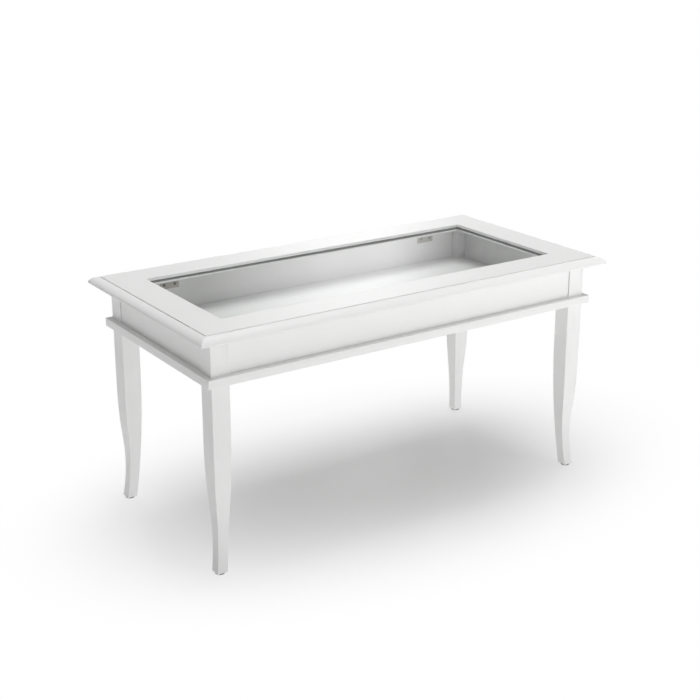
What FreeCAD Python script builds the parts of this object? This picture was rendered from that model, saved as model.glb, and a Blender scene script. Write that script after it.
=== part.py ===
# White display coffee table: a shallow box on sabre legs under a hinged lid with a glass pane.
# The origin is on the floor under the middle of the table: X along its length, Y to the rear, Z up.

import FreeCAD, Part
import os
import re

import Sketcher
from FreeCAD import Placement, Rotation, Vector

# Driving sizes in millimetres
SIZES = {
    # Lid frame and the step, crown and nose of its moulded edge
    "lid_length": 1000.0,
    "lid_width": 500.0,
    "lid_thickness": 16.5,
    "frame_width": 90.0,
    "moulding_width": 20.0,
    "moulding_step": 1.2,
    "nose_radius": 8.0,
    "lid_bottom_round": 2.0,
    # Dowels across the lid's mitres
    "mitre_dowel_radius": 3.0,
    "mitre_dowel_length": 30.0,
    "mitre_dowel_inset": 38.0,
    "mitre_dowel_pitch": 24.0,
    "mitre_dowel_height": 7.0,
    # Glass in its gasket, above the beads
    "glass_thickness": 4.0,
    "rabbet_width": 11.0,
    "gasket_fit": 0.5,
    "gasket_wall": 0.65,
    "gasket_web": 1.5,
    "gasket_setback": 1.0,
    "bead_height": 4.5,
    "bead_fit": 0.2,
    "bead_pin_radius": 0.7,
    "bead_pin_length": 22.0,
    "bead_pin_end_inset": 60.0,
    # Box: posts, aprons and base board
    "overhang": 35.0,
    "post_side": 40.0,
    "post_round": 1.5,
    "box_height": 72.0,
    "apron_thickness": 16.0,
    "apron_recess": 2.5,
    "board_thickness": 17.5,
    "board_projection": 11.0,
    "board_round": 1.0,
    # Dowels between aprons and posts
    "dowel_radius": 4.0,
    "dowel_length": 28.0,
    "dowel_low": 22.0,
    "dowel_pitch": 28.0,
    "dowel_end_gap": 1.0,
    # Sabre legs: heights are above the bottom of the leg, depths are from its outer face
    "leg_height": 389.5,
    "outer_bend_height": 247.0,
    "outer_turn_height": 137.0,
    "outer_turn_depth": 5.0,
    "inner_bend_height": 297.0,
    "foot_inset": 0.5,
    "foot_side": 23.0,
    "leg_round": 2.0,
    # Glides under the feet
    "glide_height": 3.0,
    "glide_radius": 10.0,
    "glide_shank_radius": 1.5,
    "glide_shank_length": 12.0,
    # Hanger bolts of the legs and the threaded inserts above them
    "bolt_radius": 4.0,
    "bolt_depth": 40.0,
    "bolt_play": 0.5,
    "insert_radius": 6.0,
    "insert_length": 15.0,
    "insert_end_gap": 1.0,
    # Screws from the base board into the aprons
    "board_screw_radius": 2.0,
    "board_screw_head_radius": 4.0,
    "board_screw_head_height": 2.2,
    "board_screw_length": 40.0,
    "long_screw_inset": 125.0,
    "short_screw_inset": 75.0,
    # Lid hinges
    "hinge_inset": 85.0,
    "hinge_width": 44.0,
    "hinge_thickness": 1.5,
    "hinge_drop": 25.0,
    "hinge_reach": 27.0,
    "hinge_pin_radius": 1.5,
    "hinge_pin_play": 0.05,
    "hinge_clearance": 0.5,
    "knuckle_gap": 0.3,
    "lid_knuckle_length": 19.4,
    "hinge_screw_radius": 1.75,
    "hinge_screw_head_radius": 3.2,
    "hinge_screw_head_height": 1.5,
    "hinge_screw_length": 11.0,
    "hinge_screw_pitch": 25.0,
    "hinge_screw_drop": 16.0,
    "hinge_screw_reach": 15.0,
    # Bumpers under the front of the lid
    "bumper_radius": 5.0,
    # Room round every screw, pin and dowel
    "hole_play": 0.05,
}

# Levels above the floor
LEG_TOP = "(glide_height + leg_height)"
BOARD_TOP = f"({LEG_TOP} + board_thickness)"
BOX_TOP = f"({BOARD_TOP} + box_height)"
LID_UNDER = f"({BOX_TOP} + hinge_thickness)"
RABBET_HEIGHT = "(bead_height + glass_thickness + 2 * gasket_wall)"

# Crown of the lid's moulded edge: its rise over the nose, its radius, and where it runs into the nose
RISE = "(lid_thickness - moulding_step - lid_bottom_round)"
CROWN_REACH = f"(moulding_width ^ 2 + {RISE} ^ 2 - 2 * moulding_width * nose_radius)"
CROWN = f"({CROWN_REACH} / (2 * ({RISE} - nose_radius)))"
SHOULDER = (
    f"nose_radius - nose_radius * (moulding_width - nose_radius) / ({CROWN} - nose_radius)",
    f"lid_bottom_round + nose_radius * ({CROWN} - {RISE}) / ({CROWN} - nose_radius)",
)

# Distances from the middle of the table
POST_FACE = {"x": "(lid_length / 2 - overhang)", "y": "(lid_width / 2 - overhang)"}
POST_MIDDLE = {axis: f"({face} - post_side / 2)" for axis, face in POST_FACE.items()}
POST_INNER = {axis: f"({face} - post_side)" for axis, face in POST_FACE.items()}
APRON_FACE = {axis: f"({face} - apron_recess)" for axis, face in POST_FACE.items()}
APRON_MIDDLE = {axis: f"({face} - apron_thickness / 2)" for axis, face in APRON_FACE.items()}
FOOT_MIDDLE = {axis: f"({face} - foot_inset - foot_side / 2)" for axis, face in POST_FACE.items()}

# Hinge axis: behind the rear apron and below the lid
BARREL_RADIUS = "(hinge_pin_radius + hinge_thickness)"
HINGE_X = f"({POST_INNER['x']} - hinge_inset)"
AXIS_Y = f"({APRON_FACE['y']} + {BARREL_RADIUS} + hinge_clearance)"
AXIS_Z = f"({LID_UNDER} - {BARREL_RADIUS} - knuckle_gap)"

# Directions
LEVEL = Vector(1, 0, 0)
UPRIGHT = Vector(0, 1, 0)
ALONG_X = Rotation(Vector(0, 0, 1), Vector(1, 0, 0))
ALONG_Y = Rotation(Vector(0, 0, 1), Vector(0, 1, 0))
ALONG_Z = Rotation()
OUTWARD = Rotation(Vector(0, 0, 1), Vector(0, -1, 0))

doc = FreeCAD.newDocument("display_table")
sizes = doc.addObject("Spreadsheet::Sheet", "sizes")
pieces = []


def fill_sheet():
    """Write each size and its name to one row of the sheet."""
    for row, (name, size) in enumerate(SIZES.items(), start=1):
        sizes.set(f"A{row}", name)
        sizes.set(f"B{row}", str(size))
        sizes.setAlias(f"B{row}", name)
    doc.recompute()


def formula(text):
    """Point every size named in the text at its cell in the sheet."""
    return re.sub(r"[a-z_]+", lambda word: f"sizes.{word[0]}" if word[0] in SIZES else word[0], text)


def worth(text):
    """Work out a formula in millimetres."""
    return float(sizes.evalExpression(formula(text)))


def bind(item, **formulas):
    """Tie properties of an object to the sheet."""
    for name, text in formulas.items():
        item.setExpression(name, formula(text))
    return item


def place(item, x, y, z, turn=ALONG_Z):
    """Turn an object and tie its position to the sheet."""
    item.Placement = Placement(Vector(), turn)
    for axis, text in (("x", x), ("y", y), ("z", z)):
        item.setExpression(f"Placement.Base.{axis}", formula(text))
    return item


def block(name, length, width, height, x, y, z):
    """Square-edged board from its low corner."""
    item = doc.addObject("Part::Box", name)
    return place(bind(item, Length=length, Width=width, Height=height), x, y, z)


def rod(name, radius, length, x, y, z, turn=ALONG_Z):
    """Round bar from the middle of its first end."""
    item = doc.addObject("Part::Cylinder", name)
    return place(bind(item, Radius=radius, Height=length), x, y, z, turn)


def screw(name, kind, play, x, y, z, turn):
    """Countersunk screw with its head's face at the point given, or its hole where there is play."""
    head = doc.addObject("Part::Cone", f"{name}_head")
    bind(
        head,
        Radius1=f"{kind}_head_radius + {play}",
        Radius2=f"{kind}_radius + {play}",
        Height=f"{kind}_head_height",
    )
    shank = rod(f"{name}_shank", f"{kind}_radius + {play}", f"{kind}_length + {play}", "0", "0", "0")
    return place(fuse(name, [head, shank]), x, y, z, turn)


def fuse(name, members):
    """One solid from several that meet."""
    item = doc.addObject("Part::MultiFuse", name)
    item.Shapes = members
    return item


def group(name, members):
    """Several solids kept apart in one object."""
    item = doc.addObject("Part::Compound", name)
    item.Links = members
    return item


def cut(name, base, holes):
    """A solid less its holes."""
    item = doc.addObject("Part::Cut", name)
    item.Base = base
    item.Tool = holes
    return item


def mirror(name, source, normal):
    """The same piece on the other side of the table's middle."""
    item = doc.addObject("Part::Mirroring", name)
    item.Source = source
    item.Normal = normal
    return item


def keep(item):
    """Count an object as a finished piece."""
    pieces.append(item)
    return item


def sketch_on(body, name, role):
    """Empty sketch on one of the body's own planes."""
    sketch = body.newObject("Sketcher::SketchObject", name)
    plane = next(item for item in body.Origin.OriginFeatures if item.Role == role)
    sketch.AttachmentSupport = [(plane, "")]
    sketch.MapMode = "FlatFace"
    return sketch


def tangent_arc(start, heading, end):
    """Arc that leaves its start along a heading and reaches its end, and the heading there."""
    chord = end - start
    side = Vector(-heading.y, heading.x, 0)
    radius = chord.dot(chord) / (2 * chord.dot(side))
    centre = start + side * radius
    outward = (start + end) * 0.5 - centre
    middle = centre + outward.normalize() * abs(radius)
    along = chord.normalize()
    return Part.Arc(start, middle, end), along * (2 * along.dot(heading)) - heading


def end_at(sketch, edge, point):
    """Which end of a sketch's edge lies at a point."""
    return min((1, 2), key=lambda end: sketch.getPoint(edge, end).distanceToPoint(point))


def hold(sketch, kind, places, text):
    """Add a measured constraint and tie it to the sheet."""
    index = sketch.addConstraint(Sketcher.Constraint(kind, *places, worth(text)))
    sketch.setExpression(f"Constraints[{index}]", formula(text))


def outline(sketch, corners, arcs=None, smooth=()):
    """Close a run of edges through corners given by two formulas each.

    arcs gives, for the edge that starts at a corner, the corner where its heading is known, and that
    heading: LEVEL, UPRIGHT, or None for the heading of the arc before it. smooth lists the corners
    where two arcs run into each other.
    """
    arcs = arcs or {}
    first = sketch.GeometryCount
    count = len(corners)
    points = [Vector(worth(x), worth(y), 0) for x, y in corners]
    heading = LEVEL
    for index, start in enumerate(points):
        end = points[(index + 1) % count]
        if index not in arcs:
            sketch.addGeometry(Part.LineSegment(start, end))
            continue
        known, given = arcs[index]
        if known == index:
            curve, heading = tangent_arc(start, given or heading, end)
        else:
            curve, heading = tangent_arc(end, given, start)
        sketch.addGeometry(curve)
    for index, point in enumerate(points):
        before = first + (index - 1) % count
        after = first + index
        kind = "Tangent" if index in smooth else "Coincident"
        ends = (before, end_at(sketch, before, point), after, end_at(sketch, after, point))
        sketch.addConstraint(Sketcher.Constraint(kind, *ends))
    for index, point in enumerate(points):
        corner = (first + index, end_at(sketch, first + index, point))
        hold(sketch, "DistanceX", (-1, 1, *corner), corners[index][0])
        hold(sketch, "DistanceY", (-1, 1, *corner), corners[index][1])
    for index, (known, given) in arcs.items():
        if given:
            centre_lies = "Vertical" if given == LEVEL else "Horizontal"
            end = end_at(sketch, first + index, points[known])
            sketch.addConstraint(Sketcher.Constraint(centre_lies, first + index, 3, first + index, end))


def pad(body, name, sketch, length, side="One side", turned=False):
    """Give a sketch its thickness."""
    feature = body.newObject("PartDesign::Pad", name)
    feature.Profile = sketch
    feature.SideType = side
    feature.Reversed = turned
    return bind(feature, Length=length)


def round_edges(body, name, base, radius, edges):
    """Ease the edges named, or all of them, on the last feature of a body."""
    doc.recompute()
    feature = body.newObject("PartDesign::Fillet", name)
    feature.Base = (base, edges)
    feature.UseAllEdges = not edges
    return bind(feature, Radius=radius)


def upright_edges(shape):
    """Numbers of the edges that run up rather than across."""
    edges = enumerate(shape.Edges, start=1)
    return [number for number, edge in edges if edge.BoundBox.ZLength > edge.Length / 2]


def rectangle(left, right, low, high):
    """Corners of an upright rectangle."""
    return [(left, low), (right, low), (right, high), (left, high)]


def corners():
    """Each corner of the table: its name and its sides along X and Y."""
    for depth, side_y in (("front", "-1"), ("rear", "1")):
        for width, side_x in (("left", "-1"), ("right", "1")):
            yield f"{depth}_{width}", side_x, side_y


# Where the rails of the lid lie: length, place of the outer edge's middle, and turn
LID_SIDES = {
    "front": ("lid_length", "0", "-lid_width / 2", Rotation()),
    "right": ("lid_width", "lid_length / 2", "0", Rotation(90, 0, 0)),
    "rear": ("lid_length", "0", "lid_width / 2", Rotation(180, 0, 0)),
    "left": ("lid_width", "-lid_length / 2", "0", Rotation(-90, 0, 0)),
}


def on_side(item, side):
    """Move what was drawn along X, outer edge at Y = 0, to its side of the lid."""
    x, y, turn = LID_SIDES[side][1:]
    return place(item, x, y, LID_UNDER, turn)


def mitred_bar(name, side, section, arcs=None, smooth=()):
    """Bar of one section along a side of the lid, its ends cut to the lid's mitres."""
    length = LID_SIDES[side][0]
    body = doc.addObject("PartDesign::Body", name)
    profile = sketch_on(body, f"{name}_section", "YZ_Plane")
    outline(profile, section, arcs, smooth)
    pad(body, f"{name}_bar", profile, length, "Symmetric")
    ends = sketch_on(body, f"{name}_ends", "XY_Plane")
    deep = "(frame_width + moulding_width)"
    for hand in ("1", "-1"):
        tip = (f"{hand} * {length} / 2", "0")
        inner = (f"{hand} * ({length} / 2 - {deep})", deep)
        outer = (f"{hand} * {length} / 2", deep)
        outline(ends, [tip, inner, outer])
    whole = body_volume(body)
    mitres = body.newObject("PartDesign::Pocket", f"{name}_mitres")
    mitres.Profile = ends
    mitres.Type = "ThroughAll"
    mitres.SideType = "Symmetric"
    if body_volume(body) >= whole:
        raise RuntimeError(f"{name} has no mitres")
    return on_side(body, side)


def body_volume(body):
    """Volume of a body as it stands."""
    doc.recompute()
    return body.Shape.Volume


def lid_rails():
    """Four mitred rails with a moulded outer edge and a rabbet below for the glass."""
    section = [
        ("moulding_width", "lid_thickness"),
        ("moulding_width", "lid_thickness - moulding_step"),
        SHOULDER,
        ("0", "lid_bottom_round"),
        ("lid_bottom_round", "0"),
        ("frame_width - rabbet_width", "0"),
        ("frame_width - rabbet_width", RABBET_HEIGHT),
        ("frame_width", RABBET_HEIGHT),
        ("frame_width", "lid_thickness"),
    ]
    arcs = {1: (1, LEVEL), 2: (3, UPRIGHT), 3: (3, UPRIGHT)}
    return {side: mitred_bar(f"{side}_rail_bar", side, section, arcs) for side in LID_SIDES}


def mitre_dowels(name, play, end_gap):
    """Two dowels across each mitre, or their bores."""
    groups = []
    for side in ("front", "rear"):
        members = []
        for hand, turn in (("-1", Vector(1, -1, 0)), ("1", Vector(-1, -1, 0))):
            for number in range(2):
                inset = f"(mitre_dowel_inset + {number} * mitre_dowel_pitch)"
                back = f"((mitre_dowel_length / 2 + {end_gap}) / sqrt(2))"
                members.append(
                    rod(
                        f"{name}_{side}_{len(members)}",
                        f"mitre_dowel_radius + {play}",
                        f"mitre_dowel_length + 2 * {end_gap}",
                        f"{hand} * (lid_length / 2 - {inset} + {back})",
                        f"{inset} + {back}",
                        "mitre_dowel_height",
                        Rotation(Vector(0, 0, 1), turn),
                    )
                )
        groups.append(on_side(group(f"{name}_{side}", members), side))
    return groups


def bead_pins(name, side, play):
    """Pins from the opening through a bead into its rail, or their holes."""
    length = LID_SIDES[side][0]
    end = f"({length} / 2 - frame_width - bead_pin_end_inset)"
    members = []
    for share in ("-1", "0", "1"):
        members.append(
            rod(
                f"{name}_{side}_{len(members)}",
                f"bead_pin_radius + {play}",
                f"bead_pin_length + {play}",
                f"{share} * {end}",
                "frame_width",
                "bead_height / 2",
                OUTWARD,
            )
        )
    return on_side(group(f"{name}_{side}", members), side)


def make_lid_frame(lid_screw_holes):
    """Rails, mitre dowels, beads and the pins of the beads."""
    bars = lid_rails()
    bores = mitre_dowels("mitre_bores", "hole_play", "dowel_end_gap")
    bead_section = rectangle("frame_width - rabbet_width + bead_fit", "frame_width", "0", "bead_height")
    pins = []
    for side, bar in bars.items():
        pin_holes = bead_pins("pin_holes", side, "hole_play")
        holes = [*bores, pin_holes]
        if side == "rear":
            holes.append(lid_screw_holes)
        keep(cut(f"lid_rail_{side}", bar, group(f"{side}_rail_holes", holes)))
        bead = mitred_bar(f"{side}_bead_bar", side, bead_section)
        keep(cut(f"glass_bead_{side}", bead, pin_holes))
        pins.append(bead_pins("pins", side, "0"))
    keep(group("lid_mitre_dowels", mitre_dowels("mitre_dowel", "0", "0")))
    keep(group("bead_pins", pins))


def centred_block(name, length, width, height, z):
    """Board over the middle of the table."""
    return block(name, length, width, height, f"-({length}) / 2", f"-({width}) / 2", z)


def make_glazing():
    """Glass pane and the channel-shaped gasket round its edge."""
    margin = "(frame_width - rabbet_width + gasket_fit)"
    low = f"{LID_UNDER} + bead_height"
    sides = {}
    for name, inset in (("outer", margin), ("glass", f"({margin} + gasket_web)")):
        sides[name] = [f"(lid_{axis} - 2 * {inset})" for axis in ("length", "width")]
    window = [f"(lid_{axis} - 2 * (frame_width - gasket_setback))" for axis in ("length", "width")]
    channel = centred_block("gasket_blank", *sides["outer"], "glass_thickness + 2 * gasket_wall", low)
    slot = centred_block("gasket_slot", *sides["glass"], "glass_thickness", f"{low} + gasket_wall")
    hole = centred_block("gasket_window", *window, "glass_thickness + 2 * gasket_wall", low)
    keep(cut("glass_gasket", channel, fuse("gasket_inside", [slot, hole])))
    keep(centred_block("glass_pane", *sides["glass"], "glass_thickness", f"{low} + gasket_wall"))


def apron_dowels(name, play, end_gap):
    """Two dowels in each joint between an apron and a post, or their bores."""
    members = []
    reach = f"(dowel_length / 2 + {end_gap})"
    for corner, side_x, side_y in corners():
        for number in range(2):
            height = f"{BOARD_TOP} + dowel_low + {number} * dowel_pitch"
            shape = (f"dowel_radius + {play}", f"2 * {reach}")
            members.append(
                rod(
                    f"{name}_{corner}_x_{number}",
                    *shape,
                    f"{side_x} * {POST_INNER['x']} - {reach}",
                    f"{side_y} * {APRON_MIDDLE['y']}",
                    height,
                    ALONG_X,
                )
            )
            members.append(
                rod(
                    f"{name}_{corner}_y_{number}",
                    *shape,
                    f"{side_x} * {APRON_MIDDLE['x']}",
                    f"{side_y} * {POST_INNER['y']} - {reach}",
                    height,
                    ALONG_Y,
                )
            )
    return group(name, members)


def board_screws(name, play):
    """Screws up through the base board into the aprons, or their holes."""
    places = []
    for side in ("-1", "1"):
        for share in ("-1", "0", "1"):
            along = f"{share} * ({POST_INNER['x']} - long_screw_inset)"
            places.append((along, f"{side} * {APRON_MIDDLE['y']}"))
        for share in ("-1", "1"):
            along = f"{share} * ({POST_INNER['y']} - short_screw_inset)"
            places.append((f"{side} * {APRON_MIDDLE['x']}", along))
    members = []
    for number, (x, y) in enumerate(places):
        members.append(screw(f"{name}_{number}", "board_screw", play, x, y, LEG_TOP, ALONG_Z))
    return group(name, members)


def at_posts(name, radius, length, z):
    """One upright round bar under the middle of each post."""
    members = []
    for corner, side_x, side_y in corners():
        x = f"{side_x} * {POST_MIDDLE['x']}"
        y = f"{side_y} * {POST_MIDDLE['y']}"
        members.append(rod(f"{name}_{corner}", radius, length, x, y, z))
    return group(name, members)


def make_base_board(screw_holes):
    """Board whose edge is the band round the table and whose top is the floor of the box."""
    body = doc.addObject("PartDesign::Body", "board_blank")
    plan = sketch_on(body, "board_plan", "XY_Plane")
    half = {axis: f"({face} + board_projection)" for axis, face in POST_FACE.items()}
    outline(plan, rectangle(f"-{half['x']}", half["x"], f"-{half['y']}", half["y"]))
    slab = pad(body, "board_slab", plan, "board_thickness")
    round_edges(body, "board_edges", slab, "board_round", [])
    place(body, "0", "0", LEG_TOP)
    bolt_holes = at_posts("board_bolt_holes", "bolt_radius + bolt_play", "board_thickness", LEG_TOP)
    keep(cut("base_board", body, group("board_holes", [bolt_holes, screw_holes])))
    keep(board_screws("board_screws", "0"))


def make_posts(dowel_bores):
    """Corner posts, with bores for the apron dowels and a seat for the bolt's insert."""
    insert_depth = "(insert_length + insert_end_gap)"
    seats = at_posts("insert_seats", "insert_radius + hole_play", insert_depth, BOARD_TOP)
    for corner, side_x, side_y in corners():
        body = doc.addObject("PartDesign::Body", f"{corner}_post_blank")
        plan = sketch_on(body, f"{corner}_post_plan", "XY_Plane")
        outline(plan, rectangle("-post_side / 2", "post_side / 2", "-post_side / 2", "post_side / 2"))
        column = pad(body, f"{corner}_post_column", plan, "box_height")
        doc.recompute()
        edges = [f"Edge{number}" for number in upright_edges(column.Shape)]
        round_edges(body, f"{corner}_post_edges", column, "post_round", edges)
        place(body, f"{side_x} * {POST_MIDDLE['x']}", f"{side_y} * {POST_MIDDLE['y']}", BOARD_TOP)
        keep(cut(f"post_{corner}", body, group(f"{corner}_post_holes", [dowel_bores, seats])))


def make_aprons(dowel_bores, board_screw_holes, box_screw_holes):
    """Boards between the posts, set back from the posts' faces."""
    long_side = f"(2 * {POST_INNER['x']})"
    short_side = f"(2 * {POST_INNER['y']})"
    inner = {axis: f"({face} - apron_thickness)" for axis, face in APRON_FACE.items()}
    boards = {
        "front": (long_side, "apron_thickness", f"-{POST_INNER['x']}", f"-{APRON_FACE['y']}"),
        "rear": (long_side, "apron_thickness", f"-{POST_INNER['x']}", inner["y"]),
        "left": ("apron_thickness", short_side, f"-{APRON_FACE['x']}", f"-{POST_INNER['y']}"),
        "right": ("apron_thickness", short_side, inner["x"], f"-{POST_INNER['y']}"),
    }
    for side, (length, width, x, y) in boards.items():
        blank = block(f"{side}_apron_blank", length, width, "box_height", x, y, BOARD_TOP)
        holes = [dowel_bores, board_screw_holes]
        if side == "rear":
            holes.append(box_screw_holes)
        keep(cut(f"apron_{side}", blank, group(f"{side}_apron_holes", holes)))
    keep(apron_dowels("apron_dowels", "0", "0"))


def leg_blank(name, role, turned):
    """Board sawn to the leg's curve, seen along X or along Y."""
    body = doc.addObject("PartDesign::Body", name)
    curve = sketch_on(body, f"{name}_curve", role)
    profile = [
        ("0", "leg_height"),
        ("0", "outer_bend_height"),
        ("outer_turn_depth", "outer_turn_height"),
        ("foot_inset", "0"),
        ("foot_inset + foot_side", "0"),
        ("post_side", "inner_bend_height"),
        ("post_side", "leg_height"),
    ]
    outline(curve, profile, {1: (1, UPRIGHT), 2: (2, None), 4: (5, UPRIGHT)}, smooth=(2,))
    pad(body, f"{name}_board", curve, "post_side", turned=turned)
    return place(body, f"-{POST_FACE['x']}", f"-{POST_FACE['y']}", "glide_height")


def make_legs():
    """Sabre legs: the same curve sawn in both directions, with eased corners."""
    sawn = doc.addObject("Part::Common", "leg_sawn")
    sawn.Base = leg_blank("leg_front_view", "XZ_Plane", True)
    sawn.Tool = leg_blank("leg_side_view", "YZ_Plane", False)
    doc.recompute()
    eased = doc.addObject("Part::Fillet", "leg_eased")
    eased.Base = sawn
    radius = worth("leg_round")
    eased.Edges = [(number, radius, radius) for number in upright_edges(sawn.Shape)]
    seat_size = ("bolt_radius + hole_play", "bolt_depth")
    bolt_seats = at_posts("leg_bolt_seats", *seat_size, f"{LEG_TOP} - bolt_depth")
    shank_seats = glides("shank_seats", "hole_play", False)
    leg = keep(cut("leg_front_left", eased, group("leg_holes", [bolt_seats, shank_seats])))
    keep(mirror("leg_front_right", leg, LEVEL))
    rear = keep(mirror("leg_rear_left", leg, UPRIGHT))
    keep(mirror("leg_rear_right", rear, LEVEL))
    keep(glides("foot_glides", "0", True))


def glides(name, play, with_disc):
    """Glide under each foot: a disc on a shank, or the hole for the shank."""
    members = []
    for corner, side_x, side_y in corners():
        place_of = (f"{side_x} * {FOOT_MIDDLE['x']}", f"{side_y} * {FOOT_MIDDLE['y']}")
        radius = f"glide_shank_radius + {play}"
        length = f"glide_shank_length + {play}"
        solid = rod(f"{name}_{corner}_shank", radius, length, *place_of, "glide_height")
        if with_disc:
            disc = rod(f"{name}_{corner}_disc", "glide_radius", "glide_height", *place_of, "0")
            solid = fuse(f"{name}_{corner}", [disc, solid])
        members.append(solid)
    return group(name, members)


def make_leg_bolts():
    """Hanger bolts from the legs, and the inserts that hold them in the posts."""
    length = "bolt_depth + board_thickness + insert_length"
    keep(at_posts("leg_bolts", "bolt_radius", length, f"{LEG_TOP} - bolt_depth"))
    sleeves = at_posts("insert_blanks", "insert_radius", "insert_length", BOARD_TOP)
    threads = at_posts("insert_threads", "bolt_radius + hole_play", "insert_length", BOARD_TOP)
    keep(cut("post_inserts", sleeves, threads))


def hinges():
    """Each hinge: its name and the middle of its axis along X."""
    yield "left", f"-{HINGE_X}"
    yield "right", HINGE_X


def hinge_screws(name, leaf, play):
    """Screws of the leaves on the box or on the lid, or their holes."""
    members = []
    for hand, middle in hinges():
        for side in ("-1", "1"):
            x = f"{middle} + {side} * hinge_screw_pitch / 2"
            number = f"{name}_{hand}_{len(members)}"
            if leaf == "box":
                y = f"{APRON_FACE['y']} - apron_thickness - hinge_thickness"
                z = f"{LID_UNDER} - hinge_screw_drop"
                members.append(screw(number, "hinge_screw", play, x, y, z, ALONG_Y))
            else:
                y = f"{AXIS_Y} + hinge_screw_reach"
                members.append(screw(number, "hinge_screw", play, x, y, BOX_TOP, ALONG_Z))
    return group(name, members)


def knuckle(name, length, x):
    """Barrel of a leaf round the hinge axis."""
    return rod(name, BARREL_RADIUS, length, x, AXIS_Y, AXIS_Z, ALONG_X)


def make_hinges(box_screw_holes, lid_screw_holes):
    """Two cranked lid hinges: a leaf inside the rear apron, a strap over it, a leaf under the lid."""
    inner_face = f"({APRON_FACE['y']} - apron_thickness - hinge_thickness)"
    strap_end = f"({AXIS_Y} - {BARREL_RADIUS} - hinge_clearance)"
    leaf_start = f"({AXIS_Y} + {BARREL_RADIUS} + hinge_clearance)"
    side_length = "((hinge_width - lid_knuckle_length) / 2 - knuckle_gap)"
    for hand, middle in hinges():
        low_x = f"({middle} - hinge_width / 2)"
        plate = block(
            f"{hand}_plate", "hinge_width", "hinge_thickness", "hinge_drop",
            low_x, inner_face, f"{LID_UNDER} - hinge_drop",
        )
        strap = block(
            f"{hand}_strap", "hinge_width", f"{strap_end} - {inner_face}", "hinge_thickness",
            low_x, inner_face, BOX_TOP,
        )
        members = [plate, strap]
        for end, x in (("near", low_x), ("far", f"({middle} + hinge_width / 2 - {side_length})")):
            reach = f"{AXIS_Y} - {strap_end}"
            tongue = (f"{hand}_{end}_tongue", side_length, reach, "hinge_thickness", x, strap_end, BOX_TOP)
            members.append(block(*tongue))
            members.append(knuckle(f"{hand}_{end}_knuckle", side_length, x))
        pin_hole = ("hinge_width", low_x, AXIS_Y, AXIS_Z, ALONG_X)
        tight = rod(f"{hand}_tight_bore", "hinge_pin_radius", *pin_hole)
        box_holes = group(f"{hand}_box_leaf_holes", [tight, box_screw_holes])
        keep(cut(f"hinge_leaf_box_{hand}", fuse(f"{hand}_box_leaf", members), box_holes))

        middle_x = f"({middle} - lid_knuckle_length / 2)"
        leaf = block(
            f"{hand}_lid_plate", "hinge_width", f"{AXIS_Y} + hinge_reach - {leaf_start}", "hinge_thickness",
            low_x, leaf_start, BOX_TOP,
        )
        tongue = block(
            f"{hand}_lid_tongue", "lid_knuckle_length", f"{leaf_start} - {AXIS_Y}", "hinge_thickness",
            middle_x, AXIS_Y, BOX_TOP,
        )
        barrel = knuckle(f"{hand}_lid_knuckle", "lid_knuckle_length", middle_x)
        running = rod(f"{hand}_running_bore", "hinge_pin_radius + hinge_pin_play", *pin_hole)
        lid_holes = group(f"{hand}_lid_leaf_holes", [running, lid_screw_holes])
        keep(cut(f"hinge_leaf_lid_{hand}", fuse(f"{hand}_lid_leaf", [leaf, tongue, barrel]), lid_holes))
        keep(rod(f"hinge_pin_{hand}", "hinge_pin_radius", *pin_hole))
    keep(hinge_screws("hinge_screws_box", "box", "0"))
    keep(hinge_screws("hinge_screws_lid", "lid", "0"))


def make_bumpers():
    """Soft discs on the front posts, as thick as the hinge straps."""
    members = []
    for hand in ("-1", "1"):
        x = f"{hand} * {POST_MIDDLE['x']}"
        y = f"-{POST_MIDDLE['y']}"
        members.append(rod(f"bumper_{len(members)}", "bumper_radius", "hinge_thickness", x, y, BOX_TOP))
    keep(group("lid_bumpers", members))


def write_pieces():
    """Check every object and write each finished piece to its own file."""
    doc.recompute()
    for item in doc.Objects:
        if {"Invalid", "Error"} & set(item.State):
            raise RuntimeError(f"{item.Label} did not build: {item.State}")
    for item in pieces:
        if item.Shape.isNull() or not item.Shape.isValid():
            raise RuntimeError(f"{item.Label} is not a valid solid")
    os.makedirs("parts", exist_ok=True)
    for item in pieces:
        item.Shape.exportStep(f"parts/{item.Label}.step")
        print(f"{item.Label}: {len(item.Shape.Solids)} solids, {item.Shape.Volume / 1000:.2f} cm3")


fill_sheet()
dowel_bores = apron_dowels("dowel_bores", "hole_play", "dowel_end_gap")
board_screw_holes = board_screws("board_screw_holes", "hole_play")
box_screw_holes = hinge_screws("box_screw_holes", "box", "hole_play")
lid_screw_holes = hinge_screws("lid_screw_holes", "lid", "hole_play")
make_base_board(board_screw_holes)
make_posts(dowel_bores)
make_aprons(dowel_bores, board_screw_holes, box_screw_holes)
make_legs()
make_leg_bolts()
make_lid_frame(lid_screw_holes)
make_glazing()
make_hinges(box_screw_holes, lid_screw_holes)
make_bumpers()
write_pieces()
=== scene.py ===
# %% [markdown]
# # A white display coffee table
# The table is a shallow box on four sabre legs. A hinged lid frames a pane of clear glass, so that
# whatever lies on the floor of the box can be seen from above. The solids come from the packed
# model, in metres. Everything made here is placed by what those solids measure, so no piece has to
# be moved into place by eye.

# %% Load the packed table
import math

import bmesh
import bpy
from mathutils import Matrix, Vector


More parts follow.
